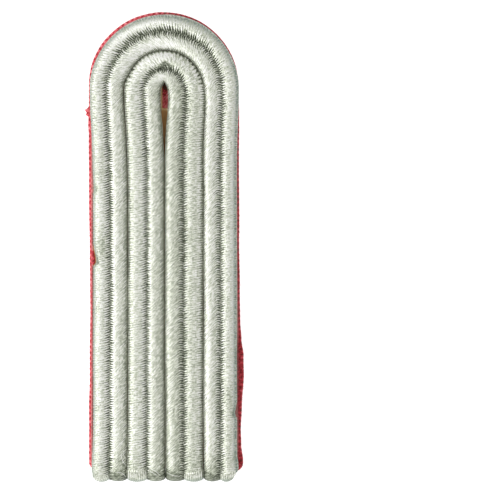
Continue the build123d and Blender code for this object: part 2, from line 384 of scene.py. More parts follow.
# Stage, with the camera looking straight down at the middle of the picture
VIEW_X, VIEW_Y, VIEW_Z = 23.8, -0.76, 3.0
VIEW_WIDTH = 138.45
LENS, SENSOR = 200.0, 36.0
FLOOR_HALF, FLOOR_DROP = 2000.0, 0.03
KEY_SIZE, FILL_SIZE, LAMP_DISTANCE = 0.5, 0.8, 0.8
KEY_Y = -0.2
FILL_DIRECTION = (0.25, -0.2, 0.95)


def smooth(share):
    """Smooth step from 0 to 1."""
    share = np.clip(share, 0, 1)
    return share * share * (3 - 2 * share)


def hump(distance, reach):
    """Bell curve of height 1."""
    return np.exp(-((distance / reach) ** 2))


def wander(rng, place, length):
    """Smooth random curve from -1 to 1, with a new value at each length along the places."""
    knots = place / length
    first = int(np.floor(knots.min()))
    values = rng.uniform(-1, 1, int(np.ceil(knots.max())) - first + 2)
    index = np.floor(knots).astype(int) - first
    return values[index] + (values[index + 1] - values[index]) * smooth(knots - first - index)


def eased(place, table):
    """Value from a table of (place, value) rows, with a smooth way from each row to the next."""
    places, values = np.transpose(table)
    index = np.clip(np.searchsorted(places, place) - 1, 0, len(places) - 2)
    share = smooth((place - places[index]) / (places[index + 1] - places[index]))
    return values[index] + (values[index + 1] - values[index]) * share


def arc(centre_x, centre_y, radius, start, end, count=24):
    """Points of an arc, with its angles in degrees."""
    angle = np.radians(np.linspace(start, end, count))
    return np.stack([centre_x + radius * np.cos(angle), centre_y + radius * np.sin(angle)], 1)


def closed(line):
    """A line with its first point again at its end."""
    return np.vstack([line, line[:1]])


def travelled(line, density=None):
    """Length along a line up to each of its points, times a density where there is one."""
    steps = np.hypot(*np.diff(line, axis=0).T)
    if density is not None:
        steps = steps * density((line[1:] + line[:-1]) / 2)
    return np.concatenate([[0], np.cumsum(steps)])


def spaced(line, count, density=None):
    """Points spread along a closed line, closer where the density is higher."""
    line = closed(line)
    along = travelled(line, density)
    at = np.linspace(0, along[-1], count, endpoint=False)
    return np.stack([np.interp(at, along, line[:, axis]) for axis in (0, 1)], 1)


def outward(line):
    """Normals of a closed line, on the left of its direction."""
    tangent = np.roll(line, -1, axis=0) - np.roll(line, 1, axis=0)
    tangent /= np.hypot(*tangent.T)[:, None]
    return np.stack([-tangent[:, 1], tangent[:, 0]], 1)


def section_density(points):
    """How close together a section's points lie: closer over its upper part."""
    return np.where(points[:, 1] > DENSE_ABOVE, 1.0, FOOT_DENSITY)


def rib_section(width, shoulder=SHOULDER_RADIUS, rise=CROWN_RISE, count=SECTION_POINTS):
    """Points round a rib and their normals, as distance from the groove and height."""
    half = width / 2
    centre_z = RIB_HEIGHT - rise - shoulder
    reach = half - shoulder
    crown = (reach**2 / rise + rise) / 2 + shoulder
    turn = math.degrees(math.atan2(centre_z - (RIB_HEIGHT - crown), reach))
    foot = half - FOOT_RADIUS
    line = np.vstack([
        [[0, 0]],
        arc(-foot, FOOT_RADIUS, FOOT_RADIUS, 270, 180),
        arc(-reach, centre_z, shoulder, 180, 180 - turn),
        arc(0, RIB_HEIGHT - crown, crown, 180 - turn, turn),
        arc(reach, centre_z, shoulder, turn, 0),
        arc(foot, FOOT_RADIUS, FOOT_RADIUS, 0, -90),
    ])
    points = spaced(spaced(line, SECTION_TRACE), count, section_density)
    return points + [half, 0], outward(points)


def drift(x, y):
    """How far the cords are pushed to the right at a place on the board."""
    hold = 1 - LEFT_HOLD * np.clip(-x / CORDS_HALF_WIDTH, 0, 1) ** 4
    round_end = smooth((y - LEFT_SPREAD_Y) / LEFT_SPREAD_FADE)
    round_end = round_end * smooth(0.5 - x / LEFT_SPREAD_WIDTH)
    square_end = smooth((END_SPREAD_Y - y) / END_SPREAD_FADE) * smooth(-x / END_SPREAD_WIDTH)
    gaps = sum(shift * hump(x - gap_x, reach) for gap_x, reach, shift in GAP_SHIFTS)
    sways = sum(
        sway * hump(x - sway_x, reach) * hump(y - sway_y, length)
        for sway_x, sway_y, reach, length, sway in SWAYS
    )
    spread = LEFT_SPREAD * round_end - gaps + END_SPREAD * square_end
    return (CORD_DRIFT + CORD_WIDENING * x) * hold - spread + sways


def squeeze(offset, turn, side):
    """How far the cords are drawn in at a distance from the middle line and a turn of the arch.

    On the right this begins below the arch, where the turn is negative.
    """
    start = np.where(side > 0, SQUEEZE_START, 0)
    share = smooth((turn - start) / (SQUEEZE_FULL - start))
    return np.interp(offset, *np.transpose(SQUEEZE)) * share


def leg_spread(y):
    """How far a leg stands out at a place along the board."""
    share = np.clip((y - ARCH_Y + DRAW_IN_LENGTH) / DRAW_IN_LENGTH, 0, 1)
    return LEG_SPREAD * np.where(share < 0.5, 2 * share**2, 1 - 2 * (1 - share) ** 2)


class Course:
    """The way of a cord over the board, for points given by their station along its groove.

    Stations run from the left cut end up the left leg, round the arch and down to the right
    cut end.
    """

    def __init__(self, station, groove):
        self.groove = groove
        self.total = 2 * ARCH_START + math.pi * (groove + LEG_SPREAD)
        self.side = np.where(station < self.total / 2, -1, 1)
        self.along = np.minimum(station, self.total - station)
        self.y = BEND_Y + self.along - LEG_START
        angle = (self.along - ARCH_START) / (groove + LEG_SPREAD)
        self.turn = np.clip(angle, 0, math.pi / 2)
        self.squeeze_turn = np.clip(angle, SQUEEZE_START, SQUEEZE_FULL)
        self.fall = np.clip((LEG_START - self.along) / BEND_LENGTH, 0, 1) * math.pi / 2

    def place(self, offset, height):
        """Places on the board at an offset from the middle line and a height above the foot."""
        arch = self.turn > 0
        offset = offset - squeeze(offset, self.squeeze_turn, self.side)
        x = np.where(arch, (offset + LEG_SPREAD) * np.cos(self.turn), offset + leg_spread(self.y))
        y = np.where(arch, ARCH_Y + (offset + LEG_SPREAD) * np.sin(self.turn), self.y)
        z = CORD_BASE + height
        radius = END_BEND_RADIUS + height
        bend = self.fall > 0
        y = np.where(bend, BEND_Y - radius * np.sin(self.fall), y)
        z = np.where(bend, BEND_Z + radius * np.cos(self.fall), z)
        x = self.side * x
        x = x + drift(x, y)
        return np.stack([x, y, z - np.clip(TAIL_LENGTH - self.along, 0, None)], -1)


def thread_lean(distance, far_lean):
    """How far a thread has moved along the cord at a distance from the groove."""
    bent = np.hypot(distance - LEAN_REACH, LEAN_SOFTNESS) + distance
    bent = bent - math.hypot(LEAN_REACH, LEAN_SOFTNESS)
    return GROOVE_LEAN * distance + (far_lean - GROOVE_LEAN) * bent / 2


def drawn_in(y, dent):
    """Share of a dent's depth at a place along the board: it deepens slowly and ends sharply."""
    _, deepest, length, _ = dent
    return smooth((deepest + length - y) / length) * smooth((y - deepest) / DENT_RELEASE + 1)


def slot_push(course):
    """How far the innermost rib is pushed towards the middle line round the buttonhole."""
    leg = np.interp(course.y, *np.transpose(SLOT_LEG))
    arch = np.interp(np.degrees(course.turn), *np.transpose(SLOT_ARCH))
    return np.where(course.turn > 0, arch, leg)


def rib_form(name, course, width, count=SECTION_POINTS, pick=slice(None)):
    """Form of a rib without its threads: distance from the groove, height, and normals."""
    soft, normal = (part[pick] for part in rib_section(width, count=count))
    full = rib_section(width, END_SHOULDER_RADIUS, END_CROWN_RISE, count)[0][pick]
    fill = 1 - smooth(course.along / END_FILL_LENGTH)
    v = soft[:, 0] + (full[:, 0] - soft[:, 0] + END_WIDENING * (2 * full[:, 0] / width - 1)) * fill
    z = soft[:, 1] + (full[:, 1] - soft[:, 1]) * fill
    if name == OUTERMOST:
        draw = np.where(course.side < 0, END_DRAWS[-1], END_DRAWS[1])
        v = v * (1 - draw * (1 - np.cos(course.fall)) ** DRAW_POWER)
    return v, z, soft, normal


def add_mesh(name, points, quads, caps=(), maps=None, values=None):
    """New smooth piece from points in millimetres, with its maps and point values."""
    shape = points.shape[:-1]
    points = points.reshape(-1, 3)
    a, b, c, d = (points[quads[:, corner]] for corner in range(4))
    inside_out = np.einsum("ij,ij->", a, np.cross(b, c) + np.cross(c, d)) < 0
    order = slice(None, None, -1 if inside_out else 1)
    mesh = bpy.data.meshes.new(name)
    polygons = quads[:, order].tolist() + [cap[order].tolist() for cap in caps]
    mesh.from_pydata((points * MM).tolist(), [], polygons)
    cap_corners = sum(len(cap) for cap in caps)
    for map_name, uv in (maps or {}).items():
        layer = mesh.uv_layers.new(name=map_name, do_init=False)
        corners = np.vstack([uv[:, order].reshape(-1, 2), np.zeros((cap_corners, 2))])
        layer.uv.foreach_set("vector", corners.astype(np.float32).ravel())
    for value_name, value in (values or {}).items():
        attribute = mesh.attributes.new(value_name, "FLOAT", "POINT")
        spread = np.broadcast_to(value, shape).astype(np.float32)
        attribute.data.foreach_set("value", spread.ravel())
    mesh.shade_smooth()
    made = bpy.data.objects.new(name, mesh)
    bpy.context.scene.collection.objects.link(made)
    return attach(made, BODY)


def grid(rows, columns, rows_wrap=False):
    """Quads of a tube of points, with each corner's row and column before they wrap."""
    i, j = np.meshgrid(np.arange(rows - (not rows_wrap)), np.arange(columns), indexing="ij")
    row = np.stack([i, i + 1, i + 1, i], -1).reshape(-1, 4)
    column = np.stack([j, j, j + 1, j + 1], -1).reshape(-1, 4)
    return row % rows * columns + column % columns, row, column


def ends(rows, columns):
    """The two polygons that close a tube of points."""
    first = np.arange(columns)
    return first[::-1], first + (rows - 1) * columns


def folded_strip(row, column, rows, columns, folds):
    """Map that lays a long strip of surface down in several rows, side by side."""
    share = row / rows * folds
    fold = np.minimum(np.floor(share[:, :1]), folds - 1)
    across = (fold + STRIP_MARGIN + (1 - 2 * STRIP_MARGIN) * column / columns) / folds
    return np.stack([MAP_MARGIN + (1 - 2 * MAP_MARGIN) * (share - fold), across], -1)


def strands(name, paths, radius, sides):
    """One mesh of many thin fibres, from the points of each and their radius or radii."""
    count, steps, _ = paths.shape
    tangent = np.gradient(paths, axis=1)
    across = np.cross(tangent, SIDEWAYS)
    across /= np.linalg.norm(across, axis=2, keepdims=True)
    up = np.cross(across, tangent)
    up /= np.linalg.norm(up, axis=2, keepdims=True)
    angle = np.arange(sides)[:, None] * 2 * math.pi / sides
    along = np.sin(np.linspace(TIP_ANGLE, math.pi - TIP_ANGLE, steps))
    taper = np.broadcast_to(radius * (FIBRE_TIP + (1 - FIBRE_TIP) * along), (count, steps))
    ring = across[:, :, None] * np.cos(angle) + up[:, :, None] * np.sin(angle)
    points = paths[:, :, None] + ring * taper[..., None, None]
    quads, _, _ = grid(steps, sides)
    starts = np.arange(count) * steps * sides
    quads = (quads[None] + starts[:, None, None]).reshape(-1, 4)
    caps = [cap + start for start in starts for cap in ends(steps, sides)]
    return add_mesh(name, points, quads, caps)


class Rib:
    """Points of one rib: a row for each step along it, and in it the points round its section."""

    def __init__(self, name, groove, side, width, pitch, rng):
        self.name, self.groove, self.side, self.width = name, groove, side, width
        total = Course(np.zeros(1), groove).total
        self.threads = round(total / pitch)
        self.rows = self.threads * THREAD_STEPS + 1
        counted = np.arange(self.threads + 1)
        knots = counted + rng.uniform(-PITCH_SPREAD, PITCH_SPREAD, self.threads + 1)
        knots = np.interp(np.arange(self.rows) / THREAD_STEPS, counted, knots)
        self.station = (total / self.threads * np.clip(knots, 0, self.threads))[:, None]
        step = np.arange(self.rows) + (THREAD_STEPS // 2 if side > 0 else 0)
        phase = (step % THREAD_STEPS / THREAD_STEPS)[:, None]
        self.lobe = np.sqrt(1 - (2 * phase - 1) ** 2)
        self.between = np.cos(2 * math.pi * phase)
        self.of_thread = (step // THREAD_STEPS)[:, None]

        # Each row of points follows one thread, which leans as it goes over the rib
        section, _ = rib_section(width)
        self.across = section[:, 0]
        self.from_edge = width - self.across
        self.upper = section[:, 1] > RIB_HEIGHT - CROWN_RISE - SHOULDER_RADIUS
        far_lean = INNER_LEAN if side < 0 else OUTER_LEAN
        back = thread_lean(width, far_lean) * self.across / width
        lean = np.where(self.upper, thread_lean(self.across, far_lean), back)
        nearest = np.minimum(self.station, total - self.station)
        self.course = Course(self.station + lean * smooth(nearest / LEAN_FADE), groove)
        self.v, self.z, self.section, self.normal = rib_form(name, self.course, width)
        self.arched = np.sin(self.course.turn)
        self.on_leg = 1 - self.arched

        # Share of the width from the groove on the left leg, and from the far side on the right
        share = self.across / width
        self.leg_share = np.where(self.course.side < 0, share, 1 - share)


def thread_relief(rib, settings, rng):
    """Relief of the threads, how closely they are packed, and where light evens them out."""
    on_left = np.where(rib.course.side < 0, rib.across, rib.from_edge)
    on_left = on_left if rib.side < 0 else rib.width - on_left
    lit = hump(on_left - LIT_PLACE, LIT_REACH) * rib.on_leg
    in_groove = hump(rib.across, GROOVE_REACH) * rib.upper * (1 - GROOVE_CALM * rib.arched)
    on_flank = hump(rib.from_edge, FAR_REACH) * rib.upper * (1 - FAR_CALM * rib.arched)
    crown, deep = settings.crown_relief / MM, settings.groove_relief / MM
    relief = crown + (deep - crown) * (in_groove + FAR_RELIEF * on_flank)
    relief = relief * smooth((rib.section[:, 1] - RELIEF_START) / RELIEF_FADE)
    radius = rib.groove + LEG_SPREAD
    packed = np.clip((radius + rib.side * rib.v) / radius, TIGHTEST, 1)
    packed = np.where(rib.course.turn > 0, packed, 1)
    thickness = rng.normal(1, THICKNESS_SPREAD, rib.threads + 2)[rib.of_thread]
    profile = (rib.lobe - 1) * thickness + THICK_RISE * (thickness - 1)
    return relief * (1 - LIT_CALM * lit) * packed * profile, packed, lit


def rib_creases(rib, rng):
    """Painted shade in the creases along a rib, wider and darker between its threads."""
    arched, between = rib.arched, rib.between
    wide = CREASE_REACH + ARCH_CREASE_REACH * arched**2
    uneven = rng.uniform(-CREASE_SPREAD, CREASE_SPREAD, rib.threads + 2)[rib.of_thread]
    wide = wide * (1 + uneven * (1 + ARCH_CREASE_SPREAD * arched))
    teeth = CREASE_TEETH * between * (1 - ARCH_TEETH_LOSS * arched)
    crease = hump(rib.across, wide * (1 + teeth))
    crease = crease * (0.5 + 0.5 * between + ARCH_CREASE_FILL * arched * (1 - between))
    lit_reach = LIT_CREASE_REACH * (1 + LIT_TEETH * between) * wide / CREASE_REACH
    lit_crease = np.exp(-((rib.across / lit_reach) ** 4))
    lit_crease = lit_crease * (1 - LIT_TEETH_TONE * (1 - between))
    lit_side = (rib.course.side * rib.side > 0) * rib.on_leg
    crease = crease * (1 - ARCH_CREASE_LOSS * arched) * (1 - lit_side) + lit_crease * lit_side
    if rib.name == OUTERMOST:
        beside_rim = hump(rib.from_edge - RIM_CREASE_PLACE, RIM_CREASE_REACH)
        return crease + RIM_CREASE * beside_rim * (rib.course.side < 0) * rib.on_leg
    narrow = CREASE_REACH * (1 - FAR_NARROWING * arched)
    teeth = FAR_TEETH * between * (1 - FAR_TEETH_LOSS * arched)
    far_crease = hump(rib.from_edge, narrow * (1 + teeth))
    far_crease = np.clip(far_crease - FAR_LINE * hump(rib.from_edge, FAR_LINE_REACH), 0, 1)
    far_crease = far_crease * (1 - FAR_TEETH_TONE * (1 - between))
    crease = crease + (FAR_CREASE + FAR_CREASE_ARCH * arched) * far_crease
    if rib.name == PEAKED:
        past_top = (rib.groove + LEG_SPREAD) * (math.pi / 2 - rib.course.turn)
        from_peak = np.abs(past_top * rib.course.side - PEAK_X)
        peak = PEAK_HEIGHT * (1 - from_peak / PEAK_HALF_WIDTH) - rib.across
        crease = np.maximum(crease, PEAK_TONE * smooth(peak / PEAK_SOFTNESS + 0.5))
    return crease


def draw_in_dents(rib):
    """Draw in the outermost rib's edge at its dents, and return their painted shade."""
    y, from_edge = rib.course.y, rib.from_edge
    shade = np.zeros_like(rib.v)
    for dent in DENTS:
        leg, deepest, _, depth = dent
        here = rib.course.side == leg
        rib.v = rib.v - depth * drawn_in(y, dent) * hump(from_edge, DENT_WIDTH) * here
        if depth < 0:
            continue
        above = y - deepest
        fade = smooth(above / DENT_RELEASE + 1) * smooth((CREASE_END - above) / CREASE_END_FADE)
        line = hump(above - CREASE_LEAN * (CREASE_TIP - from_edge), CREASE_LINE_REACH)
        pit = PIT_SHADE * depth * hump(above, PIT_REACH)
        edge = line * fade * (CREASE_LINE_BASE + depth) + pit
        hollow = hump(above - HOLLOW_Y, HOLLOW_LENGTH) * hump(from_edge - HOLLOW_PLACE, HOLLOW_WIDTH)
        shade = shade + edge * hump(from_edge - PIT_PLACE, PIT_WIDTH) * here
        shade = shade + HOLLOW_SHADE * (HOLLOW_BASE + depth) * hollow * here
    return np.clip(shade, 0, DARKEST_DENT)


def rib_tone(rib):
    """How much lighter the threads are: painted highlights on the lit flanks, on the crest of the
    arch and beside the left edge.
    """
    course = rib.course
    left_half = np.where(course.side < 0, 1, smooth((course.turn - CREST_END) / CREST_FADE))
    crest = hump(rib.across - CRESTS[rib.name] * rib.width, CREST_REACH) * rib.arched * left_half
    flank = hump(rib.leg_share * rib.width - FLANK_PLACE, FLANK_REACH) * rib.on_leg
    tone = CREST_TONE * crest + FLANK_TONE * flank
    if rib.name == OUTERMOST:
        rim = hump(rib.from_edge - RIM_LIGHT_PLACE, RIM_LIGHT_REACH)
        tone = tone + RIM_LIGHT * rim * (course.side < 0) * rib.on_leg
    for leg in (-1, 1):
        tone = tone + RIB_TONES.get((rib.name, leg), 0) * (course.side == leg) * rib.on_leg
    return tone - END_TONES[rib.name] * smooth((END_TONE_Y - course.y) / END_TONE_FADE)


def edge_shade(rib):
    """Painted shade on the board's outer edge, and on each rib where it drops over the square end."""
    side, arched = rib.course.side, rib.arched
    shade = DROP_SHADE * smooth((np.degrees(rib.course.fall) - DROP_START) / DROP_FADE)
    if rib.name == OUTERMOST:
        reach = EDGE_REACH + RIGHT_EDGE_REACH * (side > 0) * rib.on_leg
        reach = reach + ARCH_EDGE_REACH * arched * (1 + ARCH_EDGE_SIDE * side)
        broad = (BROAD_SHADE + BROAD_SIDE * side * rib.on_leg) * hump(rib.from_edge, BROAD_REACH)
        shade = shade + EDGE_SHADE * hump(rib.from_edge, reach) + broad
    return shade


def end_shade(rib, cord):
    """Painted shade on an inner rib's turned-down end, from a line that slants over it."""
    fall = np.degrees(rib.course.fall)
    line = np.radians(CAP_STARTS[cord] + CAP_SLANT * rib.leg_share)
    shade = CAP_SHADE * smooth((rib.course.fall - line) / CAP_SOFTNESS)
    return shade + sum(dark * smooth((fall - start) / length) for dark, start, length in END_SHADES)


def make_rib(name, cord, groove, side, width, settings, rng):
    """One rib of a cord, with its wound threads as relief."""
    rib = Rib(name, groove, side, width, settings.pitch / MM, rng)
    height, packed, lit = thread_relief(rib, settings, rng)
    swell = sum(
        rise * wander(rng, rib.station + slant * rib.across, length) for length, rise, slant in SWELLS
    )
    height = height + swell * rib.upper * np.sin(math.pi * rib.across / width)
    crease = rib_creases(rib, rng)
    dent = 0
    if name == OUTERMOST:
        dent = draw_in_dents(rib)
        pull = EDGE_PULL + (ARCH_PULL - EDGE_PULL) * smooth(2 * rib.arched)
        height = height - pull * hump(rib.from_edge, PULL_REACH)
    tooth = TOOTH_REACH * rib.lobe * packed * hump(rib.across, TOOTH_FADE) * rib.upper
    offset = groove + side * (rib.v + rib.normal[:, 0] * height - tooth)
    if name == INNERMOST:
        offset = offset - slot_push(rib.course) * hump(rib.from_edge, SLOT_REACH)
        offset = np.maximum(offset, MIDDLE_GAP - leg_spread(rib.course.y))
    points = rib.course.place(offset, np.maximum(rib.z + rib.normal[:, 1] * height, 0))
    points[..., 0] += RIB_WANDER * wander(rng, points[..., 1], RIB_WANDER_LENGTH)

    # Painted shade in the gaps between threads, deeper in the creases and less where the key light
    # falls
    away = (1 - GAP_BASE) * np.clip(crease, 0, 1) * (1 - GAP_ARCH_CALM * rib.arched)
    # tone carries painted highlights and each rib's own tone; gap, groove, edge, dent and end carry
    # painted shade
    values = {
        "tone": rib_tone(rib) * rib.upper,
        "gap": np.sqrt(1 - rib.lobe) * (GAP_BASE + away) * (1 - LIT_GAP_CALM * lit),
        "groove": crease * rib.upper,
        "edge": edge_shade(rib),
        "lot": rng.uniform(-1, 1, rib.threads + 2)[rib.of_thread],
        "dent": dent * rib.upper,
        "end": end_shade(rib, cord) * (side < 0),
    }
    quads, row, column = grid(rib.rows, SECTION_POINTS)
    along, round_it = rib.station.ravel() * THREAD_STRETCH[side], travelled(closed(rib.section))
    maps = {
        THREAD_MAP: np.stack([along[row], round_it[column]], -1) * MAP_SCALE,
        BAKE_MAP: folded_strip(row, column, rib.rows - 1, SECTION_POINTS, RIB_STRIPS),
    }
    return add_mesh(name, points, quads, ends(rib.rows, SECTION_POINTS), maps, values)


def make_end_threads(name, rib_name, groove, rib_side, width, leg, near, far):
    """Straightened threads on the turned-down end of an outer rib, laid over the rib."""
    section, _ = rib_section(width, END_SHOULDER_RADIUS, END_CROWN_RISE, END_TRACE)
    pick = np.flatnonzero(section[:, 1] > END_FOOT)
    start = LEG_START - near - (far - near) * section[pick, 0] / width
    share = np.linspace(0, 1, END_ROWS)[:, None]
    along = start * (1 - share)
    total = Course(along, groove).total
    course = Course(along if leg < 0 else total - along, groove)
    v, z, section, normal = rib_form(rib_name, course, width, END_TRACE, pick)
    ridge = np.abs(np.sin(math.pi * section[:, 0] / END_THREAD_PITCH)) ** END_RIDGE_POWER
    lift = END_SUNK + smooth(share / END_RISE_SHARE) * (END_RISE + END_RIDGE * ridge)

    def layer(height):
        offset = groove + rib_side * (v + normal[:, 0] * height)
        return course.place(offset, z + normal[:, 1] * height)

    points = np.concatenate([layer(lift), layer(-END_DEPTH)[:, ::-1]], axis=1)
    columns = points.shape[1]
    quads, row, column = grid(END_ROWS, columns)
    across = np.concatenate([section[:, 0], section[::-1, 0], section[:1, 0]])
    maps = {
        THREAD_MAP: np.stack([across[column], row * END_GRAIN], -1) * MAP_SCALE,
        BAKE_MAP: folded_strip(row, column, END_ROWS - 1, columns, 1),
    }
    gap = np.concatenate([1 - ridge, 1 - ridge[::-1]])
    turned = smooth((np.degrees(course.fall[:, :1]) - END_TURN_START) / END_TURN_FADE)
    # Painted shade between the end threads and where they turn down
    values = {
        "gap": END_GAP * gap + END_TURN_GAP * turned,
        "edge": END_TURN_EDGE * turned,
        "lot": END_LOT,
    }
    return add_mesh(name, points, quads, ends(END_ROWS, columns), maps, values)


def cloth_outline():
    """Edge of the cloth from above, its normals, places along it and how far it stands out."""
    left, right = CLOTH_SHIFT - CLOTH_RADIUS, CLOTH_SHIFT + CLOTH_RADIUS
    corner = CLOTH_CORNER_RADIUS
    low = SQUARE_END_Y + corner
    line = np.vstack([
        arc(CLOTH_SHIFT, ARCH_Y, CLOTH_RADIUS, 0, 180, ARCH_POINTS),
        arc(left + corner, low, corner, 180, 270),
        arc(right - corner, low, corner, 270, 360),
    ])[::-1]
    perimeter = travelled(closed(line))[-1]
    edge = spaced(line, round(perimeter / CLOTH_STEP))
    normal = outward(edge)
    x, y = edge.T
    proud = np.where(x > 0, eased(y, RIGHT_EDGE), eased(y, LEFT_EDGE))
    proud = proud * np.sqrt(np.abs(normal[:, 0]))
    proud += ARCH_MARGIN * smooth((y - ARCH_Y) / ARCH_MARGIN_FADE)
    for nub_y, half_length, reach in NUBS:
        proud += reach * hump(y - nub_y, half_length) * (x < 0)
    place = np.linspace(0, perimeter, len(edge), endpoint=False)
    return edge, normal, place, proud


def cloth_section():
    """Points round the cloth's turned-up edge, as distance in from it and height."""
    rounding, top = CLOTH_EDGE_RADIUS, CLOTH_TOP
    lip_top, lip_end, lip_side = LIP_INSETS
    return np.vstack([
        [(BACK_INSET, 0)],
        arc(rounding, rounding, rounding, 270, 180, LOW_POINTS),
        [(0, top / 2)],
        arc(rounding, top - rounding, rounding, 180, 90, TOP_POINTS),
        [(lip_top, top), (lip_end, top - LIP_DROP), (lip_side, CLOTH_THICKNESS)],
    ])


def raised_yarns(place, on_right, round_it, pitch, rng):
    """Raised yarns in staggered rows round the edge, and slow unevenness."""
    shift = KNUCKLE_SHIFT * wander(rng, place, KNUCKLE_SHIFT_LENGTH)
    wave = np.cos(2 * math.pi * (place / pitch + shift))
    knuckle = 0.5 + 0.5 * wave * np.cos(2 * math.pi * round_it / KNUCKLE_ROWS - KNUCKLE_START)
    knuckle = knuckle * (1 + KNUCKLE_SPREAD * wander(rng, place, KNUCKLE_SPREAD_LENGTH))
    knuckle = knuckle * np.where(on_right, RIGHT_KNUCKLES, 1.0)
    return knuckle, CLOTH_WAVE * wander(rng, place, CLOTH_WAVE_LENGTH)


def slit_line(around):
    """Edge of the slit for the button, with a point for each one of a line around it."""
    centre = np.array([SLIT_X, SLIT_Y])
    toward = around - centre
    scale = np.min([SLIT_HALF_WIDTH, SLIT_HALF_LENGTH] / np.abs(toward).clip(1e-6), axis=1)
    return centre + toward * scale[:, None]


def rings(inner, outer, height):
    """Rings of points at one height, from a line out to just inside another."""
    shares = np.linspace(0, 1, RING_COUNT, endpoint=False)[:, None]
    flat = inner[:, None] * (1 - shares) + outer[:, None] * shares
    return np.dstack([flat, np.full(flat.shape[:2], height)])


def make_cloth(settings, rng):
    """The cloth underlay: a flat back with its edge turned up round the fibre board."""
    edge, normal, place, proud = cloth_outline()
    place, proud = place[:, None], proud[:, None]
    on_right, on_left = edge[:, :1] > 0, edge[:, :1] < 0
    section = cloth_section()
    inset, z = section.T
    shown = smooth((SHOWN_WIDTH - inset) / SHOWN_FADE) * smooth(z / SHOWN_FADE)
    slope = np.gradient(section, axis=0)
    slope /= np.hypot(*slope.T)[:, None]
    pitch = settings.knuckle_pitch / MM
    knuckle, uneven = raised_yarns(place, on_right, travelled(section), pitch, rng)
    height = shown * (KNUCKLE_RELIEF * (knuckle - KNUCKLE_LEVEL) + uneven)

    # The left edge leans into the dents of the cord that it meets
    dents = [dent for dent in DENTS if dent[0] < 0 < dent[3]]
    lip = LIP_FOLD * sum(dent[3] * drawn_in(edge[:, 1:], dent) for dent in dents)
    lip = lip * on_left * smooth(2 * inset - 1)
    inset = inset + LIP_LEAN * lip
    z = z + LIP_RISE * np.clip(lip, 0, 1) * (z > CLOTH_THICKNESS)
    reach = inset - slope[:, 1] * height - proud * np.clip(PROUD_HOLD - inset / PROUD_FADE, 0, 1)
    plan = edge[:, None] - normal[:, None] * reach[..., None]
    form = np.dstack([plan, z - slope[:, 0] * height])

    # The back and the hollow both run in to the slit
    slit = slit_line(plan[:, 0])
    back, hollow = rings(slit, plan[:, 0], 0.0), rings(slit, plan[:, -1], CLOTH_THICKNESS)
    points = np.concatenate([back, form, hollow[:, ::-1]], axis=1)
    rows, columns = points.shape[:2]
    pad = ((0, 0), (RING_COUNT, RING_COUNT))
    # Pale line at the cord's foot, partly painted light that lifts the shade there
    fold = FOLD_PALE * (1 + smooth(proud - 0.5))
    foot = smooth((inset - np.where(on_right, fold, FOOT_PALE)) / FOOT_FADE)
    foot = foot * (z > CLOTH_TOP / 2) * (lip < LIP_NO_PALE_LINE)
    values = {
        "hollow": np.arange(columns) >= columns - RING_COUNT - 1,
        "knuckle": np.pad(knuckle * shown, pad),
        "rim": np.pad(shown[None], pad),
        "foot": np.pad(foot, pad, constant_values=1),
    }
    quads, row, column = grid(rows, columns, rows_wrap=True)
    maps = {BAKE_MAP: folded_strip(row, column, rows, columns, CLOTH_STRIPS)}
    return add_mesh("cloth_underlay", points, quads, (), maps, values)


def make_fuzz(rng):
    """Short wool hairs that stand out of the cloth's edge."""
    edge, normal, _, proud = cloth_outline()
    pick = rng.integers(0, len(edge), HAIR_COUNT)
    edge, normal, proud = edge[pick], normal[pick], proud[pick]
    tilt = rng.uniform(*HAIR_TILT, HAIR_COUNT)
    root = edge + normal * (proud - HAIR_INSET)[:, None]
    root_z = CLOTH_TOP - HAIR_DROP - HAIR_SPREAD * rng.random(HAIR_COUNT)
    length = rng.uniform(*HAIR_LENGTH, HAIR_COUNT)
    turn = rng.normal(0, HAIR_TURN, HAIR_COUNT)[:, None]
    out = normal * np.cos(turn) + normal[:, ::-1] * [-1, 1] * np.sin(turn)
    t = np.linspace(0, 1, HAIR_STEPS)[:, None]
    reach = (length * np.cos(tilt))[:, None, None] * t
    curl = rng.normal(0, HAIR_CURL, (HAIR_COUNT, 1, 2)) * np.sin(math.pi * t)
    plan = root[:, None] + out[:, None] * reach + curl * length[:, None, None]
    z = root_z[:, None] + (length * np.sin(tilt))[:, None] * t[:, 0]
    return strands("cloth_fuzz", np.dstack([plan, z]), HAIR_RADIUS, HAIR_SIDES)


def cord_top(x, y):
    """Height of the cords' upper side at places seen from above."""
    x = x - drift(x, y)
    offset = np.where(y > ARCH_Y, np.hypot(x, y - ARCH_Y) - LEG_SPREAD, np.abs(x) - leg_spread(y))
    offset = offset + squeeze(offset, np.arctan2(y - ARCH_Y, np.abs(x)), x)
    height = np.zeros(np.shape(x))
    for _, _, groove, side, width in RIBS:
        section, _ = rib_section(width)
        upper = section[section[:, 1] > CORD_FOOT]
        rise = np.interp((offset - groove) * side, *upper.T, left=0, right=0)
        height = np.maximum(height, rise)
    past = np.clip(BEND_Y - y, 0, None)
    bent = BEND_Z + np.sqrt(np.clip((END_BEND_RADIUS + height) ** 2 - past**2, 0, None))
    return np.where(past > 0, bent, CORD_BASE + height)


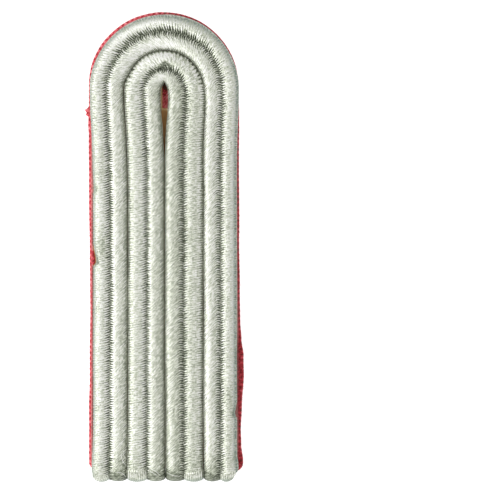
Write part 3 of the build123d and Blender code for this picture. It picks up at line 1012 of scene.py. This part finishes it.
def make_fibres(rng):
    """Loose fibres of the silver thread that lie over the ribs."""
    x = rng.uniform(*SPARE_X, SPARE_COUNT)
    y = rng.uniform(*SPARE_Y, SPARE_COUNT)
    angle = rng.normal(*SPARE_ANGLE, SPARE_COUNT)
    length = rng.uniform(*SPARE_LENGTH, SPARE_COUNT)
    bow = rng.normal(0, SPARE_BOW, SPARE_COUNT)
    radius = rng.uniform(*SPARE_RADIUS, SPARE_COUNT)
    spare = np.stack([x, y, x + length * np.cos(angle), y + length * np.sin(angle), bow, radius], 1)
    t = np.linspace(0, 1, FIBRE_STEPS)[:, None]
    made = []
    for name, table in (("loose_fibres", np.array(FIBRES)), ("fine_fibres", spare)):
        start, end, bow, radius = np.split(table[:, None], (2, 4, 5), axis=2)
        run = end - start
        side = run[..., ::-1] * [-1, 1] / np.linalg.norm(run, axis=2, keepdims=True)
        plan = start + run * t + side * (bow * np.sin(math.pi * t))
        plan[..., 0] = plan[..., 0].clip(-FIBRES_X, FIBRES_X)
        z = cord_top(plan[..., 0], plan[..., 1])
        z = np.maximum(z, np.roll(z, 1, axis=1) - FIBRE_DIP) + FIBRE_LIFT
        made.append(strands(name, np.dstack([plan, z]), radius[..., 0], FIBRE_SIDES))
    return made


# Shader nodes

def node(tree, kind, inputs=None, **settings):
    """New shader node, its settings, and its inputs set to values or linked to sockets."""
    made = tree.nodes.new(kind)
    for key, value in settings.items():
        setattr(made, key, value)
    for key, value in (inputs or {}).items():
        if isinstance(value, bpy.types.NodeSocket):
            tree.links.new(value, made.inputs[key])
        else:
            made.inputs[key].default_value = value
    return made


def calc(tree, operation, *values, clamp=False):
    """Result of a Math node."""
    inputs = dict(enumerate(values))
    return node(tree, "ShaderNodeMath", inputs, operation=operation, use_clamp=clamp).outputs[0]


def weighted(tree, base, *terms):
    """Base value plus each source times its weight."""
    total = base
    for weight, source in terms:
        total = calc(tree, "MULTIPLY_ADD", source, weight, total)
    return total


def value_of(tree, name):
    """A mesh's point value."""
    return node(tree, "ShaderNodeAttribute", attribute_name=name).outputs["Fac"]


def noise(tree, place, scale, detail=2.0, distortion=0.0):
    """Noise at a place."""
    inputs = {"Vector": place, "Scale": scale, "Detail": detail, "Distortion": distortion}
    return node(tree, "ShaderNodeTexNoise", inputs).outputs["Fac"]


def scaled(tree, place, factors):
    """A place times a factor, or times one factor for each axis."""
    if isinstance(factors, float):
        inputs, operation = {0: place, "Scale": factors}, "SCALE"
    else:
        inputs, operation = {0: place, 1: factors}, "MULTIPLY"
    return node(tree, "ShaderNodeVectorMath", inputs, operation=operation).outputs[0]


def place_in_mm(tree):
    """Place on the board in millimetres."""
    return scaled(tree, node(tree, "ShaderNodeTexCoord").outputs["Object"], 1 / MM)


def axes_of(tree, place):
    """The X, Y and Z of a place."""
    return node(tree, "ShaderNodeSeparateXYZ", {0: place}).outputs


def faded(tree, value, start, end, first, last):
    """Value that goes from first to last while another goes from start to end."""
    inputs = {"Value": value, 1: start, 2: end, 3: first, 4: last}
    return node(tree, "ShaderNodeMapRange", inputs).outputs[0]


def mixed(tree, share, first, second):
    """Mix of two colours."""
    return node(tree, "ShaderNodeMix", {0: share, 6: first, 7: second}, data_type="RGBA").outputs[2]


def ramp(tree, source, *stops):
    """Colour for a value, from (place, colour) stops."""
    made = node(tree, "ShaderNodeValToRGB", {"Fac": source})
    elements = made.color_ramp.elements
    while len(elements) < len(stops):
        elements.new(0.5)
    for element, (place, colour) in zip(elements, stops):
        element.position = place
        element.color = (*colour, 1)
    return made.outputs["Color"]


def new_group(name, inputs, outputs):
    """Empty node group with its sockets: inputs as {name: default}, outputs as names."""
    tree = bpy.data.node_groups.new(name, "ShaderNodeTree")
    for socket_name, default in inputs.items():
        kind = "NodeSocketVector" if default is None else "NodeSocketFloat"
        socket = tree.interface.new_socket(socket_name, in_out="INPUT", socket_type=kind)
        if default is not None:
            socket.default_value = default
    for socket_name in outputs:
        tree.interface.new_socket(socket_name, in_out="OUTPUT", socket_type="NodeSocketFloat")
    return tree, node(tree, "NodeGroupInput").outputs, node(tree, "NodeGroupOutput").inputs


def use_group(tree, name, **inputs):
    """Place a node group in a material."""
    return node(tree, "ShaderNodeGroup", inputs, node_tree=bpy.data.node_groups[name]).outputs


def strand_grain():
    """Node group of fine filaments that run along a thread, as a tone round a half."""
    tree, given, result = new_group(
        "Strand grain", {"Place": None, "Width": 0.2, "Run": 1.5, "Contrast": 1.0}, ("Tone",)
    )
    sizes = {0: calc(tree, "DIVIDE", 1.0, given["Width"]), 1: calc(tree, "DIVIDE", 1.0, given["Run"])}
    stretch = node(tree, "ShaderNodeCombineXYZ", sizes).outputs[0]
    grain = noise(tree, scaled(tree, given["Place"], stretch), 0.5, 0.0, 0.15)
    contrast = calc(tree, "MULTIPLY", given["Contrast"], 2.0)
    tone = calc(tree, "MULTIPLY_ADD", calc(tree, "SUBTRACT", grain, 0.5), contrast, 0.5)
    tree.links.new(calc(tree, "MAXIMUM", calc(tree, "MINIMUM", tone, 1.0), 0.0), result["Tone"])


def twill_weave():
    """Node group of a twill: slanting ribs crossed by single yarns."""
    tree, given, result = new_group(
        "Twill weave", {"Place": None, "Rib": 0.8, "Fuzz": 0.5}, ("Height", "Tone")
    )
    axes = axes_of(tree, given["Place"])
    turn = calc(tree, "DIVIDE", 2 * math.pi, given["Rib"])
    slant = calc(tree, "SUBTRACT", axes["X"], calc(tree, "MULTIPLY", axes["Y"], 0.9))
    cross = calc(tree, "ADD", axes["X"], calc(tree, "MULTIPLY", axes["Y"], 2.1))
    fuzz = calc(tree, "SUBTRACT", noise(tree, given["Place"], 3.0, 3.0), 0.5)
    loose = calc(tree, "MULTIPLY", fuzz, given["Fuzz"])
    wave = calc(tree, "MULTIPLY_ADD", slant, turn, calc(tree, "MULTIPLY", loose, 3.0))
    yarn = calc(tree, "SINE", calc(tree, "MULTIPLY", cross, turn))
    height = weighted(tree, 0.5, (0.32, calc(tree, "SINE", wave)), (0.14, yarn))
    tree.links.new(height, result["Height"])
    tree.links.new(calc(tree, "ADD", height, loose, clamp=True), result["Tone"])


def new_material(name, **constants):
    """New material whose shader has these values of its own."""
    material = bpy.data.materials.new(name)
    material.use_nodes = True
    tree = material.node_tree
    shader = tree.nodes["Principled BSDF"]
    for key, value in constants.items():
        shader.inputs[key.replace("_", " ")].default_value = value
    return material, tree, shader


def bump(tree, shader, height, distance):
    """Relief from a height that goes from 0 to 1 over a distance in millimetres."""
    made = node(tree, "ShaderNodeBump", {"Height": height, "Distance": distance * MM})
    tree.links.new(made.outputs[0], shader.inputs["Normal"])


def thread_material(settings):
    """Silver-grey satin thread, wound in fine filaments."""
    material, tree, shader = new_material(
        "silver thread",
        Metallic=0.35,
        Anisotropic=settings.grain_direction,
        Specular_IOR_Level=settings.shine,
        Sheen_Weight=0.08,
        Sheen_Roughness=0.4,
    )
    uv = node(tree, "ShaderNodeUVMap", uv_map=THREAD_MAP).outputs[0]
    place = scaled(tree, uv, 1 / MAP_SCALE)
    fine = use_group(tree, "Strand grain", Place=place, Width=0.12, Run=0.2, Contrast=4.5)["Tone"]
    dash = use_group(tree, "Strand grain", Place=place, Width=0.16, Run=0.6, Contrast=3.5)["Tone"]
    groove = value_of(tree, "groove")
    lot = value_of(tree, "lot")
    # Thread tone: painted highlights from the tone value, painted shade from the gap, groove, dent
    # and end values
    tone = weighted(
        tree,
        0.53,
        (0.18, fine),
        (0.27, dash),
        (0.12, noise(tree, place_in_mm(tree), 0.16)),
        (0.04, lot),
        (1.00, value_of(tree, "tone")),
        (0.20, calc(tree, "MULTIPLY", groove, lot)),
        (0.60, calc(tree, "MULTIPLY", groove, fine)),
        (0.60, calc(tree, "MULTIPLY", groove, dash)),
        (-0.70, value_of(tree, "gap")),
        (-1.75, groove),
        (-0.45, value_of(tree, "dent")),
        (-0.33, value_of(tree, "end")),
    )
    colour = ramp(
        tree,
        calc(tree, "MAXIMUM", tone, 0.0, clamp=True),
        (0.0, settings.gap_colour),
        (0.35, settings.shade_colour),
        (0.7, settings.colour),
        (1.0, settings.bright_colour),
    )
    # Painted shade on the board's outer edge, in a greenish grey
    dashed = weighted(tree, 0.45, (0.8, dash))
    edge = calc(tree, "MULTIPLY", value_of(tree, "edge"), dashed, clamp=True)
    colour = mixed(tree, edge, colour, (*settings.edge_colour, 1))
    tree.links.new(colour, shader.inputs["Base Color"])
    rough = weighted(tree, settings.roughness - 0.08, (0.16, dash))
    tree.links.new(rough, shader.inputs["Roughness"])
    tangent = node(tree, "ShaderNodeTangent", direction_type="UV_MAP", uv_map=THREAD_MAP)
    tree.links.new(tangent.outputs[0], shader.inputs["Tangent"])
    bump(tree, shader, weighted(tree, 0.0, (0.5, fine), (0.5, dash)), settings.filament_relief / MM)
    return material


def fibre_material(settings):
    """Bare strand of the same thread."""
    colour = (*settings.bright_colour, 1)
    return new_material("loose strand", Roughness=0.4, Specular_IOR_Level=0.8, Base_Color=colour)[0]


def wool_material(settings):
    """Red wool twill, with raised yarns on its turned-up edge whose tops are paler, partly from wear
    and partly as painted highlight.
    """
    material, tree, shader = new_material(
        "red wool",
        Roughness=0.85,
        Specular_IOR_Level=0.25,
        Sheen_Weight=0.35,
        Sheen_Roughness=0.5,
        Sheen_Tint=(1.0, 0.55, 0.55, 1),
    )
    place = place_in_mm(tree)
    weave = use_group(tree, "Twill weave", Place=place, Rib=settings.rib_pitch / MM, Fuzz=0.7)
    rim = value_of(tree, "rim")
    lint = noise(tree, place, 2.2, 4.0)
    flat = calc(tree, "MULTIPLY", calc(tree, "SUBTRACT", 1.0, rim), weave["Tone"])
    # Raised yarns on the edge; their tops take the paler colour, partly wear and partly painted
    # highlight
    yarns = weighted(tree, -0.55, (0.9, value_of(tree, "knuckle")), (1.4, lint))
    edge_tone = calc(tree, "MULTIPLY", rim, yarns)
    # Painted shadow deep in the buttonhole, darkest towards its top, taken off a patchy tone of the
    # cloth seen there
    start, end = settings.hole_shade_start / MM, settings.hole_shade_end / MM
    hole_shade = faded(tree, axes_of(tree, place)["Y"], start, end, 0.0, 1.3)
    hole_tone = calc(tree, "SUBTRACT", weighted(tree, -0.75, (2.3, noise(tree, place, 1.5))), hole_shade)
    hollow = calc(tree, "MULTIPLY", value_of(tree, "hollow"), hole_tone)
    tone = calc(tree, "ADD", calc(tree, "MULTIPLY_ADD", flat, 0.62, edge_tone), hollow, clamp=True)
    colour = ramp(
        tree,
        tone,
        (0.0, settings.deepest_shade_colour),
        (0.12, settings.shade_colour),
        (0.55, settings.colour),
        (1.0, settings.wear_and_highlight_colour),
    )
    # Pale line at the cord's foot, partly painted light against the shade there
    foot = calc(tree, "MULTIPLY", value_of(tree, "foot"), calc(tree, "MULTIPLY", rim, 0.85))
    colour = mixed(tree, foot, colour, (*settings.pale_and_lit_foot_colour, 1))
    tree.links.new(colour, shader.inputs["Base Color"])
    bump(tree, shader, weighted(tree, 0.0, (0.8, weave["Height"]), (0.4, lint)), 0.12)
    return material


def fibre_board_material(settings):
    """Brown fibre board, with a paler cut edge round the buttonhole."""
    material, tree, shader = new_material("fibre board", Roughness=0.8, Specular_IOR_Level=0.3)
    place = place_in_mm(tree)
    fibre = noise(tree, scaled(tree, place, (1.4, 0.25, 3.0)), 1.6, 5.0)
    fleck = noise(tree, place, 5.0, 3.0)
    axes = axes_of(tree, place)
    side = calc(tree, "ABSOLUTE", calc(tree, "SUBTRACT", axes["X"], SLIT_X))
    end = calc(tree, "ABSOLUTE", calc(tree, "SUBTRACT", axes["Y"], SLIT_Y))
    from_hole = calc(
        tree,
        "MAXIMUM",
        calc(tree, "SUBTRACT", side, settings.hole_width / MM / 2),
        calc(tree, "SUBTRACT", end, SLIT_HALF_LENGTH),
    )
    body = ramp(
        tree,
        weighted(tree, 0.0, (0.7, fibre), (0.3, fleck)),
        (0.3, settings.shade_colour),
        (0.55, settings.colour),
        (0.75, settings.streak_colour),
    )
    pale = ramp(tree, fleck, (0.35, settings.colour), (0.6, settings.edge_colour))
    hole_tone = faded(tree, from_hole, 0.15, 0.75, 1.0, 0.0)
    tree.links.new(mixed(tree, hole_tone, body, pale), shader.inputs["Base Color"])
    bump(tree, shader, weighted(tree, 0.0, (0.6, fibre), (0.4, fleck)), 0.06)
    return material


def floor_material(settings):
    """Plain pale floor."""
    return new_material(
        "pale floor",
        Roughness=0.9,
        Specular_IOR_Level=0.0,
        Base_Color=(*settings.floor_colour, 1),
        Emission_Color=(1, 1, 1, 1),
        Emission_Strength=settings.floor_glow,
    )[0]


# Settings

def colour_property(name, description, default):
    return FloatVectorProperty(
        name=name, description=description, default=default, size=3, min=0, max=1, subtype="COLOR"
    )


def length_property(name, description, default):
    return FloatProperty(
        name=name, description=description, default=default, unit="LENGTH", precision=6
    )


def share_property(name, description, default):
    return FloatProperty(name=name, description=description, default=default, subtype="FACTOR")


class ThreadSettings(PropertyGroup):
    pitch: length_property("Thread pitch", "Spacing of the wound threads along a groove", 0.00065)
    groove_relief: length_property("Groove relief", "Depth between two threads in a groove", 0.0004)
    crown_relief: length_property("Crown relief", "Depth between two threads on a rib", 0.00005)
    filament_relief: length_property("Filament relief", "Depth between a thread's filaments", 0.00005)
    roughness: share_property("Roughness", "Roughness of the satin thread", 0.38)
    shine: share_property("Shine", "Strength of the thread's reflection", 0.8)
    grain_direction: share_property("Direction", "How much the gloss follows the threads", 0.6)
    colour: colour_property("Colour", "Thread in open light", (0.62, 0.65, 0.53))
    # Brightest colour, reached by the brightest filaments and by the painted highlights
    bright_colour: colour_property("Bright colour", "Brightest filaments", (0.92, 0.92, 0.88))
    # Painted shade colour of the threads in the grooves
    shade_colour: colour_property("Shade colour", "Threads in the grooves", (0.24, 0.27, 0.19))
    # Painted shade colour of the gaps between threads
    gap_colour: colour_property("Gap colour", "Gaps between threads", (0.05, 0.06, 0.035))
    # Painted shade colour of the board's outer edge
    edge_colour: colour_property("Edge colour", "Board's outer edge", (0.20, 0.26, 0.21))


class ClothSettings(PropertyGroup):
    knuckle_pitch: length_property("Edge pitch", "Spacing of the raised yarns at the edge", 0.00154)
    rib_pitch: length_property("Twill pitch", "Spacing of the twill's ribs", 0.0008)
    # Painted shadow in the buttonhole: where it begins and where it is darkest
    hole_shade_start: length_property("Grime start", "Where the buttonhole begins to darken", 0.0422)
    hole_shade_end: length_property("Grime end", "Where the buttonhole is darkest", 0.0455)
    colour: colour_property("Colour", "Red of the wool", (0.68, 0.056, 0.076))
    shade_colour: colour_property("Shade colour", "Between the yarns", (0.18, 0.008, 0.008))
    # Paler tops of the raised yarns, partly wear and partly painted highlight
    wear_and_highlight_colour: colour_property("Worn colour", "Paler tops of the yarns", (0.96, 0.31, 0.34))
    # Pale line at the cord's foot, partly painted light against the shade there
    pale_and_lit_foot_colour: colour_property("Foot colour", "Rubbed edge at the cord's foot", (0.95, 0.60, 0.54))
    # Darkest colour of the wool, the painted shadow deep in the buttonhole
    deepest_shade_colour: colour_property("Grime colour", "Deep in the buttonhole", (0.11, 0.06, 0.03))


class BoardSettings(PropertyGroup):
    hole_width: length_property("Hole width", "Width of the punched buttonhole", 0.0017)
    colour: colour_property("Colour", "Face of the fibre board", (0.50, 0.26, 0.10))
    shade_colour: colour_property("Shade colour", "Darker fibres", (0.27, 0.14, 0.055))
    streak_colour: colour_property("Streak colour", "Orange-brown streaks", (0.62, 0.28, 0.07))
    edge_colour: colour_property("Edge colour", "Cut edge", (0.80, 0.62, 0.36))


class StageSettings(PropertyGroup):
    key: FloatProperty(
        name="Key light", description="Power of the soft light on the left", default=4.6, unit="POWER"
    )
    key_height: FloatProperty(
        name="Key height",
        description="Height of that light above the horizon",
        default=math.radians(50),
        subtype="ANGLE",
    )
    fill: FloatProperty(
        name="Fill light", description="Power of the soft light overhead", default=0.2, unit="POWER"
    )
    sky: share_property("Sky", "Brightness of the surroundings", 0.54)
    floor_glow: share_property("Floor glow", "Light that the floor gives by itself", 0.95)
    floor_colour: colour_property("Floor colour", "Plain pale floor", (0.5, 0.5, 0.5))


# Operators, one for each piece or group of like pieces

def finish_piece(piece, material, slot, *replaced):
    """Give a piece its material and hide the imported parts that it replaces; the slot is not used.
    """
    piece.data.materials.append(material)
    if replaced:
        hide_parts(*replaced)


def silver(settings):
    """The thread material, made once."""
    return bpy.data.materials.get("silver thread") or thread_material(settings)


class SHOULDER_OT_cords(Operator):
    """Lay the four ribs of the two plaited cords"""

    bl_idname = "shoulder_board.cords"
    bl_label = "Plaited cords"

    def execute(self, context):
        settings = context.scene.shoulder_threads
        rng = np.random.default_rng(CORD_SEED)
        for name, cord, groove, side, width in RIBS:
            made = make_rib(name, cord, groove, side, width, settings, rng)
            finish_piece(made, silver(settings), cord, cord)
        return {"FINISHED"}


class SHOULDER_OT_cord_ends(Operator):
    """Straighten the threads on the turned-down ends of the outer ribs"""

    bl_idname = "shoulder_board.cord_ends"
    bl_label = "Cord ends"

    def execute(self, context):
        ribs = {rib[0]: rib for rib in RIBS}
        for rib_name, leg, near, far in END_CREASES:
            _, cord, groove, side, width = ribs[rib_name]
            name = f"{rib_name}_{'left' if leg < 0 else 'right'}_end"
            made = make_end_threads(name, rib_name, groove, side, width, leg, near, far)
            finish_piece(made, silver(context.scene.shoulder_threads), cord)
        return {"FINISHED"}


class SHOULDER_OT_loose_fibres(Operator):
    """Scatter loose fibres of thread over the ribs"""

    bl_idname = "shoulder_board.loose_fibres"
    bl_label = "Loose fibres"

    def execute(self, context):
        material = fibre_material(context.scene.shoulder_threads)
        for made in make_fibres(np.random.default_rng(FIBRE_SEED)):
            finish_piece(made, material, "outer_cord")
        return {"FINISHED"}


class SHOULDER_OT_underlay(Operator):
    """Fold the red cloth up round the fibre board"""

    bl_idname = "shoulder_board.underlay"
    bl_label = "Cloth underlay"

    def execute(self, context):
        settings = context.scene.shoulder_cloth
        material = wool_material(settings)
        cloth = make_cloth(settings, np.random.default_rng(CLOTH_SEED))
        finish_piece(cloth, material, "underlay", "underlay")
        fuzz = make_fuzz(np.random.default_rng(HAIR_SEED))
        finish_piece(fuzz, material, "underlay")
        return {"FINISHED"}


class SHOULDER_OT_fibre_board(Operator):
    """Finish the fibre board that shows through the buttonhole"""

    bl_idname = "shoulder_board.fibre_board"
    bl_label = "Fibre board"

    def execute(self, context):
        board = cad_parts["stiffener"]
        board.data.materials.clear()
        board.data.materials.append(fibre_board_material(context.scene.shoulder_fibre))
        return {"FINISHED"}


def add_lamp(name, power, size, direction):
    """Square soft light that faces the board from a direction."""
    lamp = bpy.data.lights.new(name, "AREA")
    lamp.energy, lamp.size = power, size
    made = bpy.data.objects.new(name, lamp)
    direction = np.array(direction) / np.linalg.norm(direction)
    made.location = direction * LAMP_DISTANCE
    made.rotation_euler = (0, math.acos(direction[2]), math.atan2(direction[1], direction[0]))
    bpy.context.scene.collection.objects.link(made)


class SHOULDER_OT_stage(Operator):
    """Set the floor, the soft studio lights and the camera"""

    bl_idname = "shoulder_board.stage"
    bl_label = "Stage"

    def execute(self, context):
        settings = context.scene.shoulder_stage
        half, drop = FLOOR_HALF * MM, FLOOR_DROP * MM
        corners = [(x * half, y * half, -drop) for x, y in ((-1, -1), (1, -1), (1, 1), (-1, 1))]
        mesh = bpy.data.meshes.new("floor")
        mesh.from_pydata(corners, [], [(0, 1, 2, 3)])
        mesh.materials.append(floor_material(settings))
        floor = bpy.data.objects.new("floor", mesh)
        context.scene.collection.objects.link(floor)

        world = bpy.data.worlds.new("studio")
        world.use_nodes = True
        background = world.node_tree.nodes["Background"].inputs
        background["Color"].default_value = (1, 1, 1, 1)
        background["Strength"].default_value = settings.sky
        context.scene.world = world
        height = settings.key_height
        add_lamp("key light", settings.key, KEY_SIZE, (-math.cos(height), KEY_Y, math.sin(height)))
        add_lamp("fill light", settings.fill, FILL_SIZE, FILL_DIRECTION)

        camera = bpy.data.cameras.new("camera")
        camera.lens, camera.sensor_width = LENS, SENSOR
        camera.clip_start, camera.clip_end = 0.01, 10
        eye = bpy.data.objects.new("camera", camera)
        eye.location = np.array([VIEW_X, VIEW_Y, VIEW_Z + VIEW_WIDTH * LENS / SENSOR]) * MM
        context.scene.collection.objects.link(eye)
        context.scene.camera = eye
        context.scene.view_settings.view_transform = "Standard"
        return {"FINISHED"}


OPERATORS = (
    SHOULDER_OT_cords,
    SHOULDER_OT_cord_ends,
    SHOULDER_OT_loose_fibres,
    SHOULDER_OT_underlay,
    SHOULDER_OT_fibre_board,
    SHOULDER_OT_stage,
)
SETTINGS = {
    "shoulder_threads": ThreadSettings,
    "shoulder_cloth": ClothSettings,
    "shoulder_fibre": BoardSettings,
    "shoulder_stage": StageSettings,
}


class SHOULDER_PT_panel(Panel):
    """Settings and steps of the shoulder board"""

    bl_idname = "SHOULDER_PT_panel"
    bl_label = "Shoulder board"
    bl_space_type = "VIEW_3D"
    bl_region_type = "UI"
    bl_category = "Shoulder board"

    def draw(self, context):
        for name, group in SETTINGS.items():
            box = self.layout.box()
            for key in group.__annotations__:
                box.prop(getattr(context.scene, name), key)
        for operator in OPERATORS:
            self.layout.operator(operator.bl_idname)


def register():
    for made in (*SETTINGS.values(), *OPERATORS, SHOULDER_PT_panel):
        bpy.utils.register_class(made)
    for name, group in SETTINGS.items():
        setattr(bpy.types.Scene, name, PointerProperty(type=group))


def unregister():
    for name in SETTINGS:
        delattr(bpy.types.Scene, name)
    for made in (SHOULDER_PT_panel, *OPERATORS[::-1], *SETTINGS.values()):
        bpy.utils.unregister_class(made)


def main():
    """Make every piece and the stage."""
    register()
    strand_grain()
    twill_weave()
    for operator in OPERATORS:
        group, name = operator.bl_idname.split(".")
        getattr(getattr(bpy.ops, group), name)()


if __name__ == "__main__":
    main()
